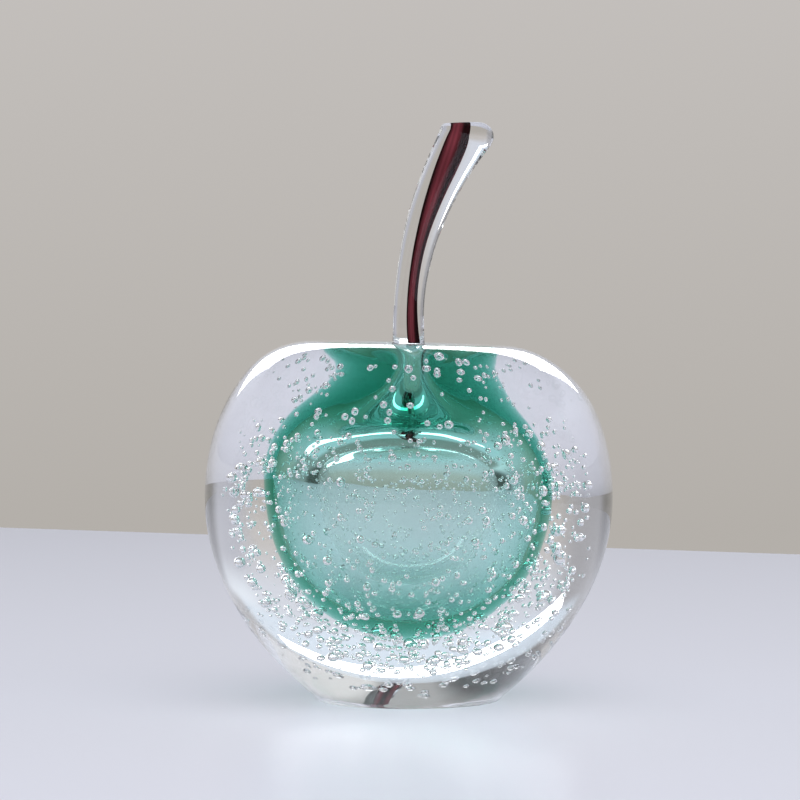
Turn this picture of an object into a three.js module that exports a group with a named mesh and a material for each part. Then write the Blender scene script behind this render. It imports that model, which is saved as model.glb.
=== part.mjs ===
// A hand-made glass apple: a hollow green bulb, cased in seeded and clear glass, with a bent stem.
// Millimetres, +Z up. The origin is the middle of the flat that the apple stands on.
import * as THREE from "three";

const { degToRad, clamp } = THREE.MathUtils;

// Outer casing
const bodyDiameter = 100;
const widestHeight = 49.8;
const rimHeight = 87.3;
const rimDiameter = 46.4;
const baseDiameter = 46;
const baseBevel = 0.8;
const flankAngle = degToRad(38.7); // slope of the flank where it leaves the base

// Dished top, with the seat that the stem stands on
const dishDepth = 1;
const seatMargin = 0.6;

// Hollow of the green bulb, with a sloping shoulder that turns up at its collar into the neck
const hollowDiameter = 44.2;
const glassUnderHollow = 28.2;
const glassOverCollar = 22.5;
const collarDiameter = 24;
const shoulderSlope = degToRad(12);
const neckBore = 2;

// Layers round the hollow, each thickest under its floor and over its collar
const colourFloorWall = 3.4;
const colourBellyWall = 1.5;
const colourCollarWall = 4.8;
const colourNeckWall = 1.4;
const seedFloorWall = 8;
const seedBellyWall = 5.8;
const seedCollarWall = 7.6;
const seedNeckWall = 1.6;
const fuseGap = 0.05; // fused faces are drawn this far apart, so that each layer is its own solid

// Stem
const stemLength = 54.9;
const stemLean = 16.5; // sideways reach of the stem's axis
const stemTipAngle = degToRad(31); // lean of the axis at the cut end
const footDiameter = 8.4;
const waistDiameter = 7.4;
const waistHeight = 9;
const headDiameter = 13.8;
const headLength = 7.4; // from the thickest level to the cut end
const headRound = 2.6;
const headDrawBack = 3.4; // how far the cut end is drawn back against the lean
const plugLength = 1.6; // stem glass that sinks into the neck
const plugClearance = 0.3;

// Dark rod inside the stem
const coreFootDiameter = 2.2;
const coreWaistDiameter = 1.8;
const coreHeadDiameter = 3.6;
const glassUnderCore = 0.8;

// How full the curves are: the share of a stretch over which it keeps its first or last direction
const flankFullness = 0.355;
const lowerBellyFullness = 0.43;
const upperBellyFullness = 0.573;
const shoulderFullness = 0.58;
const dishFullness = 0.5;
const hollowFloorFullness = 0.55;
const hollowLowerFullness = 0.64;
const hollowUpperFullness = 0.55;
const hollowShoulderFullness = 0.55;
const hollowWidestShare = 0.67; // widest level of the hollow, between its floor and its collar
const collarFullness = 0.36;
const throatFullness = 0.5;
const throatShare = 0.35; // level where the neck runs straight, between the collar and the seat
const stemRiseFullness = 0.43;
const stemTipFullness = 0.31;
const stemSwellFullness = 0.5;

// Facets
const bodySegments = 40;
const stemSegments = 16;
const curveSteps = 8;
const shortCurveSteps = 4;
const levelPrecision = 1e-6;

const seatHeight = rimHeight - dishDepth;
const footHeight = seatHeight + fuseGap;
const headHeight = stemLength - headLength;

const glass = (color, roughness) => new THREE.MeshStandardMaterial({ color, roughness, metalness: 0 });
const clearGlass = glass(0xe3ecea, 0.03);
const seededGlass = glass(0xdce6e4, 0.06);
const greenGlass = glass(0x3f9f86, 0.04);
const stemGlass = glass(0xe6ebe9, 0.03);
const maroonGlass = glass(0x4a1f26, 0.1);

const at = (radius, height) => new THREE.Vector2(radius, height);
const last = (points) => points[points.length - 1];
const reversed = (points) => points.slice().reverse();

// Points after the first of a cubic curve that leaves start along leave and comes to end from arrive.
function bend(start, leave, arrive, end, steps) {
  const curve = new THREE.CubicBezierCurve(start, start.clone().add(leave), end.clone().add(arrive), end);
  return curve.getPoints(steps).slice(1);
}

// A solid of revolution about +Z from a profile of radius and height that runs anticlockwise.
function turned(profile, segments) {
  return new THREE.LatheGeometry(profile, segments).rotateX(Math.PI / 2);
}

// Half outline of the apple, from the edge of its base up and over the rim to the edge of the seat.
function casingOutline() {
  const flank = at(baseDiameter / 2, baseBevel);
  const widest = at(bodyDiameter / 2, widestHeight);
  const rim = at(rimDiameter / 2, rimHeight);
  const seatEdge = at(footDiameter / 2 + seatMargin, seatHeight);
  const lower = widest.y - flank.y;
  const upper = rim.y - widest.y;
  const flankPull = at(Math.cos(flankAngle), Math.sin(flankAngle)).multiplyScalar(flankFullness * lower);
  const shoulderPull = at(shoulderFullness * (widest.x - rim.x), 0);
  const dishPull = at(dishFullness * (rim.x - seatEdge.x), 0);
  return [
    at(flank.x - baseBevel, 0),
    flank,
    ...bend(flank, flankPull, at(0, -lowerBellyFullness * lower), widest, curveSteps),
    ...bend(widest, at(0, upperBellyFullness * upper), shoulderPull, rim, curveSteps),
    ...bend(rim, dishPull.clone().negate(), dishPull, seatEdge, shortCurveSteps),
  ];
}

// Thicknesses of glass round the hollow: under its floor, round its belly, over its collar and round
// its neck.
const walls = (floor, belly, collar, neck) => ({ floor, belly, collar, neck });

function thicker(inner, more) {
  return walls(
    inner.floor + more.floor, inner.belly + more.belly, inner.collar + more.collar, inner.neck + more.neck,
  );
}

// Half outline of the hollow, grown by the walls round it, from the axis at its floor out, over its
// shoulder and up the neck to the seat.
function bulbOutline(grown) {
  const collarLevel = seatHeight - glassOverCollar;
  const widestLevel = glassUnderHollow + hollowWidestShare * (collarLevel - glassUnderHollow);
  const floor = at(0, glassUnderHollow - grown.floor);
  const widest = at(hollowDiameter / 2 + grown.belly, widestLevel);
  const collar = at(collarDiameter / 2, collarLevel + grown.collar);
  const throat = at(neckBore / 2 + grown.neck, collar.y + throatShare * (seatHeight - collar.y));
  const lower = widest.y - floor.y;
  const upper = collar.y - widest.y;
  const slope = at(Math.cos(shoulderSlope), -Math.sin(shoulderSlope));
  const floorPull = at(hollowFloorFullness * widest.x, 0);
  const shoulderPull = slope.clone().multiplyScalar(hollowShoulderFullness * (widest.x - collar.x));
  const collarPull = slope.clone().multiplyScalar(-collarFullness * (collar.x - throat.x));
  const throatPull = at(0, -throatFullness * (throat.y - collar.y));
  return [
    floor,
    ...bend(floor, floorPull, at(0, -hollowLowerFullness * lower), widest, curveSteps),
    ...bend(widest, at(0, hollowUpperFullness * upper), shoulderPull, collar, curveSteps),
    ...bend(collar, collarPull, throatPull, throat, shortCurveSteps),
    at(throat.x, seatHeight),
  ];
}

const bare = walls(0, 0, 0, 0);
const fuseGaps = walls(fuseGap, fuseGap, fuseGap, fuseGap);
const roundColour = walls(colourFloorWall, colourBellyWall, colourCollarWall, colourNeckWall);
const roundSeeds = thicker(roundColour, walls(seedFloorWall, seedBellyWall, seedCollarWall, seedNeckWall));

// A shell between two bulb outlines, open at the neck.
function bulbShell(outside, inside) {
  return turned([...outside, ...reversed(inside)], bodySegments);
}

function outerCasing() {
  const inside = bulbOutline(thicker(roundSeeds, fuseGaps));
  return turned([at(0, 0), ...casingOutline(), ...reversed(inside)], bodySegments);
}

function seedLayer() {
  return bulbShell(bulbOutline(roundSeeds), bulbOutline(thicker(roundColour, fuseGaps)));
}

function colourLayer() {
  return bulbShell(bulbOutline(roundColour), bulbOutline(bare));
}

// Half outline of the stem or its core, grown by grow, from start over the waist to the head.
function stemRun(footSize, waistSize, headSize, start, grow) {
  const foot = at(footSize / 2 + grow, start);
  const waist = at(waistSize / 2 + grow, waistHeight);
  const head = at(headSize / 2 + grow, headHeight);
  const toWaist = at(0, stemSwellFullness * (waist.y - foot.y));
  const toHead = at(0, stemSwellFullness * (head.y - waist.y));
  return [
    foot,
    ...bend(foot, toWaist, toWaist.clone().negate(), waist, shortCurveSteps),
    ...bend(waist, toHead, toHead.clone().negate(), head, curveSteps),
  ];
}

function coreRun(grow) {
  return stemRun(coreFootDiameter, coreWaistDiameter, coreHeadDiameter, glassUnderCore, grow);
}

// The parameter at which a rising curve reaches a level, by halving.
function shareAt(curve, level) {
  let low = 0;
  let high = 1;
  while (high - low > levelPrecision) {
    const middle = (low + high) / 2;
    if (curve.getPoint(middle).y < level) low = middle;
    else high = middle;
  }
  return high;
}

// Leans a straight stem sideways: each level slides along +X and is drawn in from front to back,
// so that the stem stays round across its own axis. The cut end slides back a little.
function lean(geometry) {
  const tipPull = stemTipFullness * stemLength;
  const axis = new THREE.CubicBezierCurve(
    at(0, 0),
    at(0, stemRiseFullness * stemLength),
    at(stemLean - tipPull * Math.sin(stemTipAngle), stemLength - tipPull * Math.cos(stemTipAngle)),
    at(stemLean, stemLength),
  );
  const position = geometry.getAttribute("position");
  for (let i = 0; i < position.count; i++) {
    const level = clamp(position.getZ(i), 0, stemLength);
    const share = shareAt(axis, level);
    const overHead = Math.max(0, level - headHeight) / headLength;
    const slide = axis.getPoint(share).x - headDrawBack * overHead * overHead;
    position.setX(i, position.getX(i) + slide);
    position.setY(i, position.getY(i) * axis.getTangent(share).y);
  }
  return geometry;
}

function stemGlassSolid() {
  const outside = stemRun(footDiameter, waistDiameter, headDiameter, 0, 0);
  const bore = coreRun(fuseGap);
  const thickest = last(outside);
  const cutEdge = at(thickest.x - headRound, stemLength);
  const plug = neckBore / 2 - plugClearance;
  const straightPull = at(0, headLength - headRound);
  return turned([
    at(0, -plugLength),
    at(plug, -plugLength),
    at(plug, 0),
    ...outside,
    ...bend(thickest, straightPull, at(headRound, 0), cutEdge, shortCurveSteps),
    at(last(bore).x, stemLength),
    ...reversed(bore),
    at(0, glassUnderCore),
  ], stemSegments);
}

function stemCoreSolid() {
  const outside = coreRun(0);
  const foot = glassUnderCore + fuseGap;
  return turned([
    at(0, foot),
    at(outside[0].x, foot),
    ...outside.slice(1),
    at(last(outside).x, stemLength),
    at(0, stemLength),
  ], stemSegments);
}

function piece(name, geometry, material, height = 0) {
  const mesh = new THREE.Mesh(geometry, material);
  mesh.name = name;
  mesh.position.z = height;
  return mesh;
}

const apple = new THREE.Group();
apple.add(
  piece("outer_casing", outerCasing(), clearGlass),
  piece("seed_layer", seedLayer(), seededGlass),
  piece("colour_layer", colourLayer(), greenGlass),
  piece("stem_glass", lean(stemGlassSolid()), stemGlass, footHeight),
  piece("stem_core", lean(stemCoreSolid()), maroonGlass, footHeight),
);

export default apple;
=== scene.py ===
import math

import bpy
import numpy as np
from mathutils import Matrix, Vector


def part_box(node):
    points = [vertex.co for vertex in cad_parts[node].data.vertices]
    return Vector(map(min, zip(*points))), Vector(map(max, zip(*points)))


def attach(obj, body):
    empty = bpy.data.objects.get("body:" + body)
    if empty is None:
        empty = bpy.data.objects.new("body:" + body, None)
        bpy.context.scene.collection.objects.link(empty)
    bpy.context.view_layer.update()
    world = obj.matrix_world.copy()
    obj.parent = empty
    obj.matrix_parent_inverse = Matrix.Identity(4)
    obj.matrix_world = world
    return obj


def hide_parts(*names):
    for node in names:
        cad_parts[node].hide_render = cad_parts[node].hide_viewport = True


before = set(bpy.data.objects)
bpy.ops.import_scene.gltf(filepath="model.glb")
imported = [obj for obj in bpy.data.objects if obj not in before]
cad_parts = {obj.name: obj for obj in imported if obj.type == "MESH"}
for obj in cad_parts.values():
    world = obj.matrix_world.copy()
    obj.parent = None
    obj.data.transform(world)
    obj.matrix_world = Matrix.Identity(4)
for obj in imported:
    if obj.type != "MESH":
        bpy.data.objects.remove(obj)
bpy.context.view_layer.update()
scene = bpy.context.scene
mm = 0.001  # the frame is in metres, the sizes below are in millimetres
fullTurn = 2 * math.pi
longCurve, shortCurve = 200, 60  # points on a curve, before its outline is spaced evenly
rng = np.random.default_rng(41)

casingHigh = np.array(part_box("outer_casing")[1]) / mm
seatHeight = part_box("colour_layer")[1][2] / mm  # the bulb's neck ends at the seat of the stem
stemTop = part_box("stem_glass")[1][2] / mm


# Points on a cubic curve: the four corners weighted by the cubic's own powers of t.
def cubicCurve(start, leave, arrive, end, count):
    t = np.linspace(0, 1, count)[:, None]
    first = np.array(start, float)
    last = np.array(end, float)
    second = first + np.array(leave, float)
    third = last + np.array(arrive, float)
    ends = (1 - t) ** 3 * first + t ** 3 * last
    return ends + 3 * t * (1 - t) ** 2 * second + 3 * t * t * (1 - t) * third


# Points on a stretch of a circle: centre plus radius times cosine and sine.
def arcPoints(centre, radius, fromAngle, toAngle, count):
    a = np.radians(np.linspace(fromAngle, toAngle, count))
    return np.stack([centre[0] + radius * np.cos(a), centre[1] + radius * np.sin(a)], 1)


# One outline from several stretches, without doubled points, spaced evenly along its length.
def joinedOutline(stretches, count):
    points = np.concatenate(stretches)
    step = np.linalg.norm(np.diff(points, axis=0), axis=1)
    points = points[np.concatenate([[True], step > 1e-6])]
    along = np.concatenate([[0], np.cumsum(np.linalg.norm(np.diff(points, axis=0), axis=1))])
    even = np.linspace(0, along[-1], count)
    return np.stack([np.interp(even, along, points[:, i]) for i in (0, 1)], 1)


# A share that eases from 0 at low to 1 at high: three squares less two cubes.
def eased(value, low, high):
    t = np.clip((value - low) / (high - low), 0, 1)
    return t * t * (3 - 2 * t)


# Values between the rows of a table: cubic pieces whose slopes are the mean slopes of the rows beside.
def smoothRows(table, count):
    table = np.array(table, float)
    slope = np.gradient(table, axis=0)
    place = np.linspace(0, len(table) - 1, count)
    i = np.clip(place.astype(int), 0, len(table) - 2)
    t = (place - i)[:, None]
    first, last, leave, arrive = table[i], table[i + 1], slope[i], slope[i + 1]
    fromFirst = ((1 + 2 * t) * first + t * leave) * (1 - t) ** 2
    return fromFirst + ((3 - 2 * t) * last + (t - 1) * arrive) * t * t


# Turns an outline of radius and height round the upright axis: radius times cosine and sine.
def turnedGrid(outline, columns):
    a = np.arange(columns) * fullTurn / columns
    radius, height = outline[:, :1], outline[:, 1:]
    return np.stack([radius * np.cos(a), radius * np.sin(a), height + 0 * a], -1)


# Rings between a left and a right side: their middle plus half their gap times cosine along the gap, and
# the depth times sine across it.
def ringGrid(left, right, depth, columns):
    a = np.arange(columns) * fullTurn / columns
    middle = (left + right)[:, None] / 2
    half = (right - left)[:, None] / 2
    flat = middle + half * np.cos(a)[None, :, None]
    return np.stack([flat[..., 0], depth[:, None] * np.sin(a), flat[..., 1]], -1)


# An object from an array of vertices and sets of faces: in a set, all faces have as many corners.
def meshPiece(name, vertices, faceSets, material):
    mesh = bpy.data.meshes.new(name)
    corners = np.concatenate([f.ravel() for f in faceSets]).astype(np.int32)
    sizes = np.concatenate([np.full(len(f), f.shape[1]) for f in faceSets]).astype(np.int32)
    starts = np.concatenate([[0], np.cumsum(sizes)[:-1]]).astype(np.int32)
    mesh.vertices.add(len(vertices))
    mesh.vertices.foreach_set("co", (np.asarray(vertices) * mm).astype(np.float32).ravel())
    mesh.loops.add(len(corners))
    mesh.loops.foreach_set("vertex_index", corners)
    mesh.polygons.add(len(sizes))
    mesh.polygons.foreach_set("loop_start", starts)
    mesh.polygons.foreach_set("use_smooth", np.ones(len(sizes), bool))
    mesh.update(calc_edges=True)
    mesh.validate()
    mesh.materials.append(material)
    piece = bpy.data.objects.new(name, mesh)
    scene.collection.objects.link(piece)
    return piece


# A mesh from grids of points that each close round their second direction, with a pole at each end.
def closedGrids(name, grids, material):
    vertices, faceSets, offset = [], [], 0
    for grid in grids:
        rows, columns = grid.shape[:2]
        ring = offset + np.arange(rows * columns).reshape(rows, columns)
        beside = np.roll(ring, -1, axis=1)
        lowPole = np.full(columns, offset + rows * columns)
        faceSets.append(np.stack([ring[:-1], beside[:-1], beside[1:], ring[1:]], -1).reshape(-1, 4))
        faceSets.append(np.stack([lowPole, beside[0], ring[0]], -1))
        faceSets.append(np.stack([lowPole + 1, ring[-1], beside[-1]], -1))
        vertices += [grid.reshape(-1, 3), np.stack([grid[0].mean(0), grid[-1].mean(0)])]
        offset += rows * columns + 2
    return meshPiece(name, np.concatenate(vertices), faceSets, material)


# One number for each vertex, for a material to read: a grid of numbers and one for each of its two poles.
def markVertices(piece, name, values):
    mark = piece.data.attributes.new(name, "FLOAT", "POINT")
    mark.data.foreach_set("value", np.asarray(values, np.float32))


# Puts a finished piece in its node's place.
def settle(piece, node):
    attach(piece, "root")
    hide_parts(node)
    print(piece.name, "made,", len(piece.data.polygons), "faces")


def newMaterial(name):
    material = bpy.data.materials.new(name)
    material.use_nodes = True
    return material, material.node_tree.nodes, material.node_tree.links


# For rays from lamps a glass surface is a plain pane that lets a share of the light through.
def passLamps(nodes, links, share):
    path = nodes.new("ShaderNodeLightPath")
    pane = nodes.new("ShaderNodeBsdfTransparent")
    pane.inputs["Color"].default_value = (share, share, share, 1)
    either = nodes.new("ShaderNodeMixShader")
    links.new(path.outputs["Is Shadow Ray"], either.inputs["Fac"])
    links.new(nodes["Principled BSDF"].outputs["BSDF"], either.inputs[1])
    links.new(pane.outputs["BSDF"], either.inputs[2])
    links.new(either.outputs["Shader"], nodes["Material Output"].inputs["Surface"])


# Clear glass. Slow noise on Object coordinates tilts its surface by a hair, as in glass that was worked
# hot: the ripple is its pitch in each direction and its strength. A finer noise dulls the ground foot.
def clearGlass(name, settings):
    material, nodes, links = newMaterial(name)
    shader = nodes["Principled BSDF"]
    shader.inputs["Base Color"].default_value = (*settings["tint"], 1)
    shader.inputs["IOR"].default_value = settings["ior"]
    shader.inputs["Roughness"].default_value = 0
    shader.inputs["Transmission Weight"].default_value = 1
    if "ripple" in settings:
        place = nodes.new("ShaderNodeTexCoord")
        stretch = nodes.new("ShaderNodeMapping")
        stretch.inputs["Scale"].default_value = [1 / (pitch * mm) for pitch in settings["ripple"]]
        noise = nodes.new("ShaderNodeTexNoise")
        noise.inputs["Scale"].default_value = 1
        noise.inputs["Detail"].default_value = 1.5
        bump = nodes.new("ShaderNodeBump")
        bump.inputs["Strength"].default_value = 1
        bump.inputs["Distance"].default_value = settings["rippleHeight"] * mm
        links.new(place.outputs["Object"], stretch.inputs["Vector"])
        links.new(stretch.outputs["Vector"], noise.inputs["Vector"])
        links.new(noise.outputs["Fac"], bump.inputs["Height"])
        links.new(bump.outputs["Normal"], shader.inputs["Normal"])
    if "groundBelow" in settings:
        split = nodes.new("ShaderNodeSeparateXYZ")
        grain = nodes.new("ShaderNodeTexNoise")
        grain.inputs["Scale"].default_value = 1 / (settings["grain"] * mm)
        dull = nodes.new("ShaderNodeMapRange")
        dull.inputs["From Min"].default_value = settings["groundBelow"] * mm
        dull.inputs["From Max"].default_value = settings["groundFull"] * mm
        dull.inputs["To Max"].default_value = settings["groundRoughness"]
        worn = nodes.new("ShaderNodeMath")
        worn.operation = "MULTIPLY"
        links.new(place.outputs["Object"], split.inputs["Vector"])
        links.new(place.outputs["Object"], grain.inputs["Vector"])
        links.new(split.outputs["Z"], dull.inputs["Value"])
        links.new(dull.outputs["Result"], worn.inputs[0])
        links.new(grain.outputs["Fac"], worn.inputs[1])
        links.new(worn.outputs["Value"], shader.inputs["Roughness"])
    passLamps(nodes, links, settings["passes"])
    return material


# Camera
cameraSetup = {
    "focalPixels": 3697, "imagePixels": 800, "distance": 905, "height": 101.5,
    "pitch": 1.78, "sideways": -2.1,
}
camera = bpy.data.objects.new("camera", bpy.data.cameras.new("camera"))
camera.data.sensor_width = 36
camera.data.lens = camera.data.sensor_width * cameraSetup["focalPixels"] / cameraSetup["imagePixels"]
camera.location = (cameraSetup["sideways"] * mm, -cameraSetup["distance"] * mm, cameraSetup["height"] * mm)
camera.rotation_euler = (math.radians(90 - cameraSetup["pitch"]), 0, 0)
camera.data.clip_start = 0.01
scene.collection.objects.link(camera)
scene.camera = camera

# Outer casing
casing = {
    "widestHeight": 49.8, "rimRadius": 23.2, "baseRadius": 23, "baseBevel": 0.8, "flankAngle": 38.7,
    "flankFullness": 0.355, "lowerFullness": 0.43, "upperFullness": 0.573, "shoulderFullness": 0.58,
    "dishDepth": 1, "seatRadius": 4.8, "dishFullness": 0.5, "footRecess": 0.35, "poleRadius": 0.3,
    "rimTilt": 1.5, "tiltFrom": 72, "tiltBelowRim": 2, "tiltOut": (6, 16),
    "unevenness": 0.0015, "unevenHeights": (2, 20),
    # waves round the body: how many, where they start, the height that turns them by a radian, how strong
    "waves": ((2, 0.7, 31, 1), (3, -1.9, -17, 0.6), (5, 2.6, 11, 0.35)),
    "rows": 240, "columns": 224,
    "glass": {"tint": (1, 1, 1), "ior": 1.5, "passes": 0.9, "ripple": (14, 14, 10), "rippleHeight": 0.04,
              "groundBelow": 0.12, "groundFull": 0.072, "groundRoughness": 0.3, "grain": 0.4},
}


# Half outline: the recessed foot, its bevel, two curves over the belly and a shallow dish at the top.
def casingOutline():
    c = casing
    belly, rim, bevel = casingHigh[0], casingHigh[2], c["baseBevel"]
    lower = c["widestHeight"] - bevel
    upper = rim - c["widestHeight"]
    flank = math.radians(c["flankAngle"])
    pull = c["flankFullness"] * lower
    foot = np.linspace(c["poleRadius"], c["baseRadius"] - bevel, shortCurve)
    dish = c["dishFullness"] * (c["rimRadius"] - c["seatRadius"])
    return joinedOutline([
        np.stack([foot, c["footRecess"] * (1 - (foot / foot[-1]) ** 2)], 1),
        arcPoints((foot[-1], bevel), bevel, -90, -90 + c["flankAngle"], 8),
        cubicCurve((c["baseRadius"], bevel), (pull * math.cos(flank), pull * math.sin(flank)),
                   (0, -c["lowerFullness"] * lower), (belly, c["widestHeight"]), longCurve),
        cubicCurve((belly, c["widestHeight"]), (0, c["upperFullness"] * upper),
                   (c["shoulderFullness"] * (belly - c["rimRadius"]), 0), (c["rimRadius"], rim), longCurve),
        cubicCurve((c["rimRadius"], rim), (-dish, 0), (dish, 0),
                   (c["seatRadius"], rim - c["dishDepth"]), shortCurve),
        np.array([[c["poleRadius"], rim - c["dishDepth"]]]),
    ], c["rows"])


# The outline turned round the axis, with each radius swelled by a sum of cosines of turn and height, and
# the top tipped to one side: height less the tangent of the tilt times the sideways place, eased in
# upwards and outwards from the seat.
def casingGrid():
    c = casing
    grid = turnedGrid(casingOutline(), c["columns"])
    x, y, z = np.moveaxis(grid, -1, 0)
    a = np.arctan2(y, x)
    waves = sum(strong * np.cos(many * a + start + z / rise) for many, start, rise, strong in c["waves"])
    swell = 1 + c["unevenness"] * waves * eased(z, *c["unevenHeights"])
    tip = math.tan(math.radians(c["rimTilt"])) * x
    tip *= eased(z, c["tiltFrom"], casingHigh[2] - c["tiltBelowRim"]) * eased(np.hypot(x, y), *c["tiltOut"])
    return np.stack([x * swell, y * swell, z - tip], -1)


casingPiece = closedGrids("clear_casing", [casingGrid()], clearGlass("casingGlass", casing["glass"]))
settle(casingPiece, "outer_casing")

# Green bulb
bulb = {
    "hollow": {"floor": 28.2, "belly": 22.1, "widest": 52.2, "collar": (12, 63.8), "slope": 12,
               "neck": 1.0, "throat": 71.6, "belowSeat": 1.6,
               "pulls": (0.55, 0.64, 0.55, 0.55, 0.36, 0.5), "sway": (-0.6, 1.0)},
    "colour": {"floor": 24.8, "belly": 23.6, "widest": 52, "collar": (6.4, 70.6), "slope": 26,
               "neck": 2.6, "throat": 77, "belowSeat": 0.6,
               "pulls": (0.48, 0.61, 0.5, 0.67, 0.7, 0.47), "sway": (-0.6, 0.2)},
    "shoulder": 62, "shoulderReach": 7, "neckFrom": (64, 73), "neckTo": (78, 84),
    "rows": 200, "columns": 160, "poleRadius": 0.1,
    "absorb": (0.02, 0.68, 0.56), "density": 168, "ior": 1.5, "passes": 0.97,
}


# Outline of a layer of the bulb: cubic curves from its floor to its widest level, over the shoulder to its
# collar and up to its throat, then straight to its top. The pulls are the shares of a stretch over which
# the curve keeps its direction.
def bulbOutline(layer, top, count):
    across, down, up, shoulder, leave, arrive = layer["pulls"]
    floor, belly, widest, neck, throat = (layer[k] for k in ("floor", "belly", "widest", "neck", "throat"))
    collar = np.array(layer["collar"], float)
    slope = math.radians(layer["slope"])
    inward = np.array([-math.cos(slope), math.sin(slope)])
    return joinedOutline([
        cubicCurve((0, floor), (across * belly, 0), (0, -down * (widest - floor)),
                   (belly, widest), longCurve)[1:],
        cubicCurve((belly, widest), (0, up * (collar[1] - widest)),
                   -inward * shoulder * (belly - collar[0]), collar, longCurve),
        cubicCurve(collar, inward * leave * (collar[0] - neck), (0, -arrive * (throat - collar[1])),
                   (neck, throat), shortCurve),
        np.array([[neck, top], [bulb["poleRadius"], top]]),
    ], count)


# A bulb outline turned round the axis and swayed: a bell curve of height at the shoulder moves it one way
# and an eased step at the neck the other.
def bulbGrid(layer):
    outline = bulbOutline(layer, seatHeight - layer["belowSeat"], bulb["rows"])
    grid = turnedGrid(outline, bulb["columns"])
    z = grid[..., 2]
    atShoulder, atNeck = layer["sway"]
    grid[..., 0] += atShoulder * np.exp(-((z - bulb["shoulder"]) / bulb["shoulderReach"]) ** 2)
    grid[..., 0] += atNeck * eased(z, *bulb["neckFrom"]) * (1 - eased(z, *bulb["neckTo"]))
    return grid


# Green glass by absorption. Its outside is fused, so it doesn't bend light: only its air side does.
def greenGlass():
    material, nodes, links = newMaterial("greenGlass")
    shader = nodes["Principled BSDF"]
    shader.inputs["Base Color"].default_value = (1, 1, 1, 1)
    shader.inputs["Roughness"].default_value = 0
    shader.inputs["Transmission Weight"].default_value = 1
    airSide = nodes.new("ShaderNodeAttribute")
    airSide.attribute_name = "airSide"
    bending = nodes.new("ShaderNodeMapRange")
    bending.inputs["To Min"].default_value = 1
    bending.inputs["To Max"].default_value = bulb["ior"]
    links.new(airSide.outputs["Fac"], bending.inputs["Value"])
    links.new(bending.outputs["Result"], shader.inputs["IOR"])
    absorption = nodes.new("ShaderNodeVolumeAbsorption")
    absorption.inputs["Color"].default_value = (*bulb["absorb"], 1)
    absorption.inputs["Density"].default_value = bulb["density"]
    links.new(absorption.outputs["Volume"], nodes["Material Output"].inputs["Volume"])
    passLamps(nodes, links, bulb["passes"])
    return material


outside = bulbGrid(bulb["colour"])
hollow = bulbGrid(bulb["hollow"])[:, ::-1]  # its faces look into the air
bulbPiece = closedGrids("green_bulb", [outside, hollow], greenGlass())
markVertices(bulbPiece, "airSide", np.repeat([0, 1], outside.shape[0] * outside.shape[1] + 2))
settle(bulbPiece, "colour_layer")

# Air seeds round the bulb
seeds = {
    "reach": {"floor": 17.0, "belly": 29.4, "widest": 48, "collar": (10, 77), "slope": 26,
              "neck": 4.4, "throat": 83, "pulls": (0.45, 0.58, 0.45, 0.68, 0.7, 0.47)},
    "levels": (25, 30, 45, 60, 66, 72), "crowd": (3.0, 1.8, 1.2, 1.7, 1.4, 0.5),
    "skin": 540, "shell": 1120, "groups": 1000, "groupReach": 1.3,
    "smallest": 0.16, "largest": 1.05, "middle": 0.42, "spread": 0.45, "coarseBelow": 0.36,
    "crown": {"count": 2900, "out": (16, 31), "height": (63, 79), "depth": (8, 22), "sideFrom": 14,
              "sideMiddle": 0.44, "frontMiddle": 0.7, "spread": 0.3, "sideKept": 0.8, "frontKept": 0.18},
    "nearTop": 78, "farTop": 84, "outlinePoints": 500, "topPoints": 30,
    "skinFrom": 0.06, "skinDepth": 0.25, "shellDepth": 0.5, "shellPower": 1.5,  # shares of the layer
    "groupHosts": 330, "groupSize": 0.75, "clearance": 0.15, "leastGap": 0.02,
    "bareFrom": 55, "bareBehind": 6, "stretch": 0.1, "mostStretch": 1.5,
    "glass": {"tint": (1, 1, 1), "ior": 1.5, "passes": 0.97},
}


# Points on a unit ball and its faces: the six sides of a cube, each a small grid, pushed out to length 1.
def cubeBall(across):
    u = np.tan(np.linspace(-math.pi / 4, math.pi / 4, across + 1))
    a, b = np.meshgrid(u, u, indexing="ij")
    one = np.ones_like(a)
    sides = np.stack([np.stack(s, -1) for s in (
        (one, a, b), (-one, b, a), (b, one, a), (a, -one, b), (a, b, one), (b, a, -one))])
    points = np.round(sides.reshape(-1, 3), 6)
    cells = np.arange(6 * (across + 1) ** 2).reshape(6, across + 1, across + 1)
    corners = cells[:, :-1, :-1], cells[:, 1:, :-1], cells[:, 1:, 1:], cells[:, :-1, 1:]
    faces = np.stack(corners, -1).reshape(-1, 4)
    unique, index = np.unique(points, axis=0, return_inverse=True)
    return unique / np.linalg.norm(unique, axis=1)[:, None], index.reshape(-1)[faces]


# Seeds over the bulb's shoulder: at any turn, between two distances from the axis, two heights and two
# depths behind the face of the casing. Fewer and larger ones lie in the middle than at the sides.
def crownSeeds():
    c = seeds["crown"]
    a = rng.random(c["count"]) * fullTurn
    out = rng.uniform(*c["out"], c["count"])
    z = rng.uniform(*c["height"], c["count"])
    x, y = out * np.cos(a), out * np.sin(a)
    outline = casingOutline()
    upper = outline[np.argmax(outline[:, 0]):np.argmax(outline[:, 1])]
    depth = np.sqrt(np.interp(z, upper[:, 1], upper[:, 0]) ** 2 - x ** 2) - np.abs(y)
    aside = np.abs(x) > c["sideFrom"]
    keep = (depth > c["depth"][0]) & (depth < c["depth"][1])
    keep &= rng.random(c["count"]) < np.where(aside, c["sideKept"], c["frontKept"])
    middle = np.where(aside, c["sideMiddle"], c["frontMiddle"])
    radius = middle * np.exp(rng.normal(0, c["spread"], c["count"]))
    return np.stack([x, y, z], 1)[keep], radius[keep]


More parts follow.
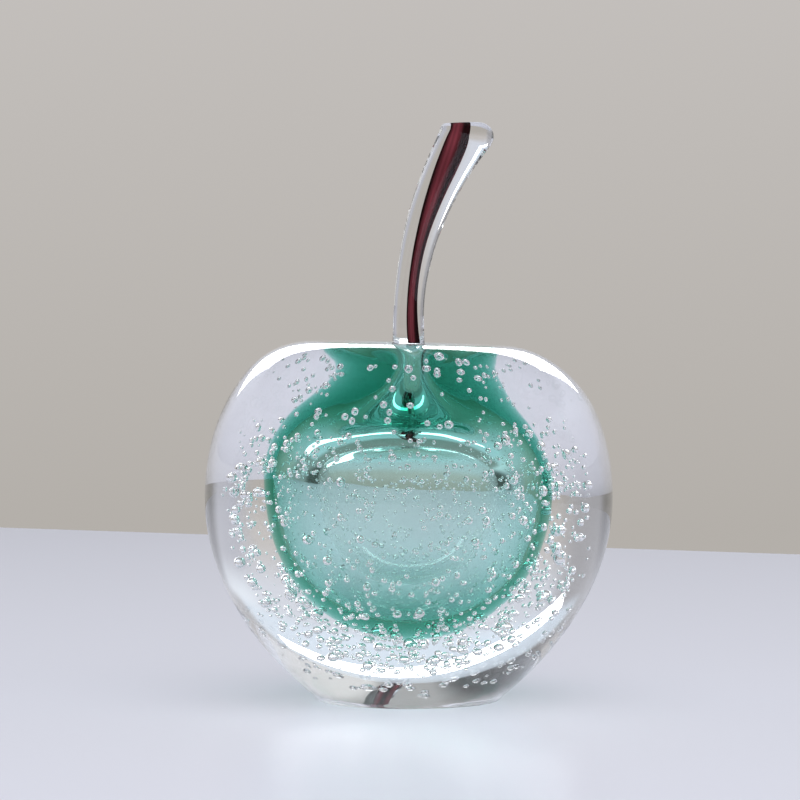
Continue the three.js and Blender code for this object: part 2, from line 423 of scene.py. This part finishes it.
# Seeds lie on the green glass and in a shell round it, crowded low down, some of them in groups. Their
# sizes are a middle size times e to a normal draw. One that meets the green glass or a larger seed is
# dropped, and so is one behind the shoulder, where the casing would draw its image out to a streak.
def seedPlaces():
    s = seeds
    near = bulbOutline(bulb["colour"], s["nearTop"], s["outlinePoints"])[:-s["topPoints"]]
    far = bulbOutline(s["reach"], s["farTop"], s["outlinePoints"])[:-s["topPoints"]]
    run = np.linalg.norm(np.diff(near, axis=0, append=near[-1:]), axis=1)
    weight = run * near[:, 0] * np.interp(near[:, 1], s["levels"], s["crowd"])
    count = s["skin"] + s["shell"]
    pick = rng.choice(len(near), count, p=weight / weight.sum())
    onSkin = s["skinFrom"] + s["skinDepth"] * rng.random(s["skin"])
    inShell = 1 - s["shellDepth"] * rng.random(s["shell"]) ** s["shellPower"]
    share = np.concatenate([onSkin, inShell])
    a = rng.random(count) * fullTurn
    flat = near[pick] + (far[pick] - near[pick]) * share[:, None]
    places = np.stack([flat[:, 0] * np.cos(a), flat[:, 0] * np.sin(a), flat[:, 1]], 1)
    grouped = places[rng.integers(count - s["groupHosts"], count, s["groups"])]
    places = np.concatenate([places, grouped + rng.normal(0, s["groupReach"], grouped.shape)])
    radius = s["middle"] * np.exp(rng.normal(0, s["spread"], len(places)))
    radius[-s["groups"]:] *= s["groupSize"]
    low = places[:, 2] < s["crown"]["height"][0]
    crown, crownRadius = crownSeeds()
    places = np.concatenate([places[low], crown])
    radius = np.clip(np.concatenate([radius[low], crownRadius]), s["smallest"], s["largest"])
    out = np.hypot(places[:, 0], places[:, 1])
    nearLimit = np.interp(places[:, 2], near[:, 1], near[:, 0], left=-9, right=0)  # free under the floor
    keep = out > nearLimit + radius + s["clearance"]
    shoulder = (places[:, 2] >= s["bareFrom"]) & (places[:, 2] <= s["crown"]["height"][0])
    keep &= ~(shoulder & (places[:, 1] >= s["bareBehind"]))
    order = np.argsort(-radius)
    places, radius, keep = places[order], radius[order], keep[order]
    gap = np.linalg.norm(places[:, None] - places[None], axis=2) - radius[:, None] - radius[None]
    keep &= ~np.tril(gap < s["leastGap"], -1).any(1)
    return places[keep], radius[keep]


places, radii = seedPlaces()
mostStretch = seeds["mostStretch"]
stretch = 1 + seeds["stretch"] * rng.standard_normal((len(places), 1, 3)).clip(-mostStretch, mostStretch)
seedVertices, seedFaces, offset = [], [], 0
small = radii < seeds["coarseBelow"]
for chosen, across in ((~small, 3), (small, 2)):  # squares along a side of the cube
    unitPoints, unitFaces = cubeBall(across)
    ball = places[chosen, None] + radii[chosen, None, None] * stretch[chosen] * unitPoints[None]
    first = offset + len(unitPoints) * np.arange(len(ball))
    seedVertices.append(ball.reshape(-1, 3))
    inward = (first[:, None, None] + unitFaces[None])[..., ::-1]  # the walls of a void look into it
    seedFaces.append(inward.reshape(-1, 4))
    offset += ball.shape[0] * ball.shape[1]
seedGlass = clearGlass("seedGlass", seeds["glass"])
seedPiece = meshPiece("air_seeds", np.concatenate(seedVertices), seedFaces, seedGlass)
settle(seedPiece, "seed_layer")

# Stem
stem = {
    # sideways places and heights over the seat, of the stem's left and right side
    "footGap": 0.05, "flare": 0.6, "flarePulls": (0.9, 0.5, 0.5), "footHeight": 4.6,
    "leftFoot": -3.87, "rightFoot": 3.84,
    "leftLeave": (0.63, 29.2), "leftArrive": (-2.3, -7), "leftEnd": (7.8, 54.2),
    "leftRound": 1.2, "leftLean": 18,
    "rightLeave": (-1.2, 24), "rightArrive": (-1.35, -1.75), "rightLean": 38,
    "dropCentre": (17.25, 51.7), "dropRound": 3.6, "topMiddle": (13, 54.9),
    "depthShare": 0.94, "rows": (14, 200, 40, 24), "headRows": 6, "columns": 160,
    "glass": {"tint": (1, 1, 1), "ior": 1.5, "passes": 0.9, "ripple": (5, 5, 40), "rippleHeight": 0.02},
}
core = {
    "start": (0.96, 0.8), "leave": (-2.9, 28.7), "arrive": (0.6, -5.2), "end": (13.2, 54.8),
    "halfWidths": (1.08, 0.88, 1.08, 1.62, 2.10, 2.10, 1.35), "rows": 140, "columns": 48,
    # the rod's own dark red, and the pale red of its streaks and of its painted highlight
    "dark": (0.016, 0.002, 0.003), "light": (0.30, 0.055, 0.075),
    # angles round the rod of the pale streaks; the one at 252, at the front left, is a painted highlight of
    # the lit side
    "streakAndHighlightAngles": (252, 30, 118), "streakAndHighlightWidth": 37, "poleMark": 0.3, "roughness": 0.5,
    # depth, pitch and shift of each wave
    "wander": (14, 5, 2.1), "fineLines": (0.18, 13, 4), "patches": (0.14, 17, 3),
}
stemFoot = seatHeight + stem["footGap"]
stemScale = np.array([1, (stemTop - stemFoot) / (stem["dropCentre"][1] + stem["dropRound"])])


# The stem's two sides as rows of points: a flared foot, a long curve, a round corner and half of the top.
def stemSides():
    s = stem
    high, flare = s["footHeight"], s["flare"]
    inPull, upPull, downPull = s["flarePulls"]
    flareRows, longRows, cornerRows, topRows = s["rows"]
    dropX, dropZ = s["dropCentre"]
    turn = math.radians(s["rightLean"])
    dropStart = (dropX + s["dropRound"] * math.cos(turn), dropZ - s["dropRound"] * math.sin(turn))
    turn = math.radians(s["leftLean"])
    cornerX = s["leftEnd"][0] + s["leftRound"] * math.cos(turn)
    cornerZ = s["leftEnd"][1] - s["leftRound"] * math.sin(turn)

    def side(foot, out, leave, arrive, end, corner):
        flareCurve = cubicCurve((foot + out, 0), (-out * inPull, upPull), (0, -high * downPull),
                                (foot, high), flareRows)
        mainCurve = joinedOutline([cubicCurve((foot, high), leave, arrive, end, 2 * longCurve)], longRows)
        top = np.linspace(corner[-1], s["topMiddle"], topRows, endpoint=False)
        points = np.concatenate([flareCurve[:-1], mainCurve, corner[1:], top[1:]])
        return points * stemScale + (0, stemFoot)

    left = side(s["leftFoot"], -flare, s["leftLeave"], s["leftArrive"], s["leftEnd"],
                arcPoints((cornerX, cornerZ), s["leftRound"], 180 - s["leftLean"], 90, cornerRows))
    right = side(s["rightFoot"], flare, s["rightLeave"], s["rightArrive"], dropStart,
                 arcPoints(s["dropCentre"], s["dropRound"], -s["rightLean"], 90, cornerRows))
    return left, right


# Half the depth of the stem from front to back: half its width square to its own run, and over the head a
# fixed share of half its width.
def stemDepth(left, right):
    half = (right - left) / 2
    run = np.gradient((left + right) / 2, axis=0)
    run /= np.linalg.norm(run, axis=1)[:, None]
    square = np.abs(run[:, 0] * half[:, 1] - run[:, 1] * half[:, 0])
    head = sum(stem["rows"][:2]) - stem["headRows"]
    plain = np.linalg.norm(half, axis=1)
    square[head:] = plain[head:] * square[head] / plain[head]
    return stem["depthShare"] * square


leftSide, rightSide = stemSides()
stemGrid = ringGrid(leftSide, rightSide, stemDepth(leftSide, rightSide), stem["columns"])
stemPiece = closedGrids("clear_stem", [stemGrid], clearGlass("stemGlass", stem["glass"]))
settle(stemPiece, "stem_glass")


# Dark red glass, paler along streaks up the rod: partly the rod's own pale streaks, partly a painted
# highlight of its lit front-left side.
def maroonGlass():
    material, nodes, links = newMaterial("maroonGlass")
    shader = nodes["Principled BSDF"]
    streakAndHighlight = nodes.new("ShaderNodeAttribute")
    streakAndHighlight.attribute_name = "streakAndHighlight"
    ramp = nodes.new("ShaderNodeValToRGB")
    ramp.color_ramp.elements[0].color = (*core["dark"], 1)
    ramp.color_ramp.elements[1].color = (*core["light"], 1)
    links.new(streakAndHighlight.outputs["Fac"], ramp.inputs["Fac"])
    links.new(ramp.outputs["Color"], shader.inputs["Base Color"])
    shader.inputs["Roughness"].default_value = core["roughness"]
    shader.inputs["Specular IOR Level"].default_value = 0
    return material


# Pale streaks run up the rod and wander round it by a sine of height: flat-topped bell curves of the angle
# from each streak, with fine lines that are cosines of that angle and patches that are a sine of height.
# The streak at the front left is a painted highlight of the rod's lit side.
def streakAndHighlightMarks(rows, columns):
    height = np.linspace(0, 1, rows)[:, None]
    a = np.arange(columns) * 360 / columns
    marks = np.zeros((rows, columns))
    reach, turns, apart = core["wander"]
    lineDepth, lines, drift = core["fineLines"]
    patchDepth, patches, shift = core["patches"]
    for i, angle in enumerate(core["streakAndHighlightAngles"]):
        off = (a - angle - reach * np.sin(turns * height + apart * i) + 180) % 360 - 180
        fine = 1 - lineDepth + lineDepth * np.cos(np.radians(lines * off) + drift * height)
        patch = 1 - patchDepth + patchDepth * np.sin(patches * height + shift * i)
        marks += np.exp(-(off / core["streakAndHighlightWidth"]) ** 4) * fine * patch
    return np.concatenate([np.clip(marks, 0, 1).ravel(), [core["poleMark"]] * 2])


coreLine = cubicCurve(core["start"], core["leave"], core["arrive"], core["end"], core["rows"])
coreLine = coreLine * stemScale + (0, stemFoot)
halfWidth = smoothRows([[w] for w in core["halfWidths"]], core["rows"])[:, 0]
aside = np.stack([halfWidth, 0 * halfWidth], 1)
coreGrid = ringGrid(coreLine - aside, coreLine + aside, halfWidth, core["columns"])
corePiece = closedGrids("maroon_core", [coreGrid], maroonGlass())
# the pale streaks and the painted highlight, as one number for each vertex
markVertices(corePiece, "streakAndHighlight", streakAndHighlightMarks(core["rows"], core["columns"]))
settle(corePiece, "stem_core")

# Floor, backdrop and light
stage = {
    "farEdge": 505, "sideEdge": 1500, "nearEdge": 1500, "turn": -26, "drop": 0.2,
    "floorColour": (0.68, 0.685, 0.77), "floorRoughness": 0.3, "floorSpecular": 0.06,
    "backdropLow": (0.455, 0.43, 0.40), "backdropHigh": (0.545, 0.52, 0.50), "wallHigh": (0.66, 0.69, 0.76),
    "wallLeft": (0.38, 0.375, 0.39), "wallRight": (0.46, 0.47, 0.53), "wallRightHigh": (0.85, 0.92, 1.0),
    "sides": 0.1, "ceilingBack": (0.72, 0.82, 0.93), "ceilingTop": 0.35,
    "frontMiddle": 0.38, "frontLeft": 0.08, "frontRight": 0.72,
    "ceilingMirrored": 0.12, "frontMirrored": 0.08,  # what the glass mirrors on its outside
    # where one tone of the room passes into the next, as parts of a direction of length 1
    "backdropRise": (-0.065, 0.08), "wallRise": (0.1, 0.34), "rightRise": (0.2, 0.45),
    "rightFrom": (0.55, 0.75), "leftFrom": (-0.5, -0.7),
    "rightEnd": (0.84, 0.93), "leftEnd": (-0.84, -0.93),
    "ceilingBackFrom": (0.36, 0.5), "frontRightFrom": (0.14, 0.26), "frontLeftFrom": (-0.12, -0.34),
    "wallTop": (0.40, 0.50), "backFrom": (-0.3, 0.0),
    # lamps: places, aims and sizes in metres
    "stripLevel": 5, "stripPlace": (-0.08, 1.0, 0.9), "stripAim": (-0.08, 0, 0.4),
    "stripSize": (2.1, 0.19), "stripRoll": -11,
    "rimLevel": 5, "rimPlace": (-0.06, 1.0, 0.52), "rimAim": (-0.06, 0, 0.1), "rimSize": (1.15, 0.36),
    "fillLevel": 2.62, "fillPlace": (0, -0.5, 1.5), "fillAim": (0, 0, 0), "fillSize": (1.6, 1.6),
}


# A flat pane with its far edge at a slant behind the part.
def makeFloor():
    t = math.radians(stage["turn"])
    side, far, near = stage["sideEdge"], stage["farEdge"], stage["nearEdge"]
    corner = np.array([(-side, -near), (side, -near), (side, far), (-side, far)], float)
    turn = np.array([(math.cos(t), math.sin(t)), (-math.sin(t), math.cos(t))])
    vertices = np.column_stack([corner @ turn, np.full(4, -stage["drop"])])
    material, nodes, _ = newMaterial("floorPaint")
    shader = nodes["Principled BSDF"]
    shader.inputs["Base Color"].default_value = (*stage["floorColour"], 1)
    shader.inputs["Roughness"].default_value = stage["floorRoughness"]
    shader.inputs["Specular IOR Level"].default_value = stage["floorSpecular"]
    return meshPiece("floor", vertices, [np.array([[0, 1, 2, 3]])], material)


# The room, by direction: behind, a wall that pales upwards between dark far sides, under a brighter
# ceiling; in front, dark to the left and pale to the right. Outer reflections see it darker.
def makeWorld():
    s = stage
    world = bpy.data.worlds.new("studio")
    world.use_nodes = True
    nodes, links = world.node_tree.nodes, world.node_tree.links
    place = nodes.new("ShaderNodeTexCoord")
    split = nodes.new("ShaderNodeSeparateXYZ")
    links.new(place.outputs["Generated"], split.inputs["Vector"])

    # a share from 0 to 1 between two limits of one part of the direction
    def ramp(axis, limits, kind="SMOOTHSTEP"):
        node = nodes.new("ShaderNodeMapRange")
        node.interpolation_type = kind
        node.inputs["From Min"].default_value, node.inputs["From Max"].default_value = limits
        links.new(split.outputs[axis], node.inputs["Value"])
        return node.outputs["Result"]

    # two tones mixed by a share; a tone is a colour, a grey level or another mix
    def blend(factor, first, second):
        node = nodes.new("ShaderNodeMix")
        node.data_type = "RGBA"
        links.new(factor, node.inputs["Factor"])
        for socket, value in (("A", first), ("B", second)):
            if isinstance(value, tuple):
                node.inputs[socket].default_value = (*value, 1)
            elif isinstance(value, float):
                node.inputs[socket].default_value = (value, value, value, 1)
            else:
                links.new(value, node.inputs[socket])
        return node.outputs["Result"]

    path = nodes.new("ShaderNodeLightPath")
    mirrored = nodes.new("ShaderNodeMath")  # 1 where a ray comes from an outer reflection
    mirrored.operation = "SUBTRACT"
    mirrored.use_clamp = True
    links.new(path.outputs["Is Glossy Ray"], mirrored.inputs[0])
    links.new(path.outputs["Is Transmission Ray"], mirrored.inputs[1])
    wall = blend(ramp("Z", s["backdropRise"], "LINEAR"), s["backdropLow"], s["backdropHigh"])
    wall = blend(ramp("Z", s["wallRise"]), wall, s["wallHigh"])
    right = blend(ramp("Z", s["rightRise"]), s["wallRight"], s["wallRightHigh"])
    wall = blend(ramp("X", s["rightFrom"]), wall, right)
    wall = blend(ramp("X", s["leftFrom"]), wall, s["wallLeft"])
    wall = blend(ramp("X", s["rightEnd"]), wall, s["sides"])
    wall = blend(ramp("X", s["leftEnd"]), wall, s["sides"])
    ceiling = blend(ramp("Y", s["ceilingBackFrom"]), s["ceilingTop"], s["ceilingBack"])
    ceiling = blend(mirrored.outputs["Value"], ceiling, s["ceilingMirrored"])
    back = blend(ramp("Z", s["wallTop"]), wall, ceiling)
    front = blend(ramp("X", s["frontRightFrom"]), s["frontMiddle"], s["frontRight"])
    front = blend(ramp("X", s["frontLeftFrom"]), front, s["frontLeft"])
    front = blend(mirrored.outputs["Value"], front, s["frontMirrored"])
    links.new(blend(ramp("Y", s["backFrom"]), front, back), nodes["Background"].inputs["Color"])
    scene.world = world


# An oblong lamp that looks from its place to its aim: its power is its level times pi times its area.
def softbox(name, place, aim, size, level):
    lamp = bpy.data.lights.new(name, "AREA")
    lamp.shape = "RECTANGLE"
    lamp.size, lamp.size_y = size
    lamp.energy = level * math.pi * size[0] * size[1]
    lightObject = bpy.data.objects.new(name, lamp)
    lightObject.location = place
    lightObject.rotation_euler = (Vector(aim) - Vector(place)).to_track_quat("-Z", "Z").to_euler()
    scene.collection.objects.link(lightObject)
    return lightObject


makeFloor()
makeWorld()

# A long strip of light that is seen through the glass alone
strip = softbox("strip", stage["stripPlace"], stage["stripAim"], stage["stripSize"], stage["stripLevel"])
strip.rotation_euler.rotate_axis("Z", math.radians(stage["stripRoll"]))
strip.visible_diffuse = False
strip.visible_glossy = False

# A panel that is mirrored along the casing's rim
rim = softbox("rim", stage["rimPlace"], stage["rimAim"], stage["rimSize"], stage["rimLevel"])
rim.visible_diffuse = False
rim.visible_transmission = False
rimLit = bpy.data.collections.new("rimLit")
rimLit.objects.link(casingPiece)
rim.light_linking.receiver_collection = rimLit  # only the casing shows it

# A wide lamp overhead that lights the floor and the rod
fill = softbox("fill", stage["fillPlace"], stage["fillAim"], stage["fillSize"], stage["fillLevel"])
fill.visible_glossy = False
fill.visible_transmission = False
print("stage made: floor, room and three lamps")

scene.view_settings.view_transform = "Standard"
scene.cycles.max_bounces = 40
scene.cycles.transmission_bounces = 40
scene.cycles.glossy_bounces = 16
scene.cycles.transparent_max_bounces = 16
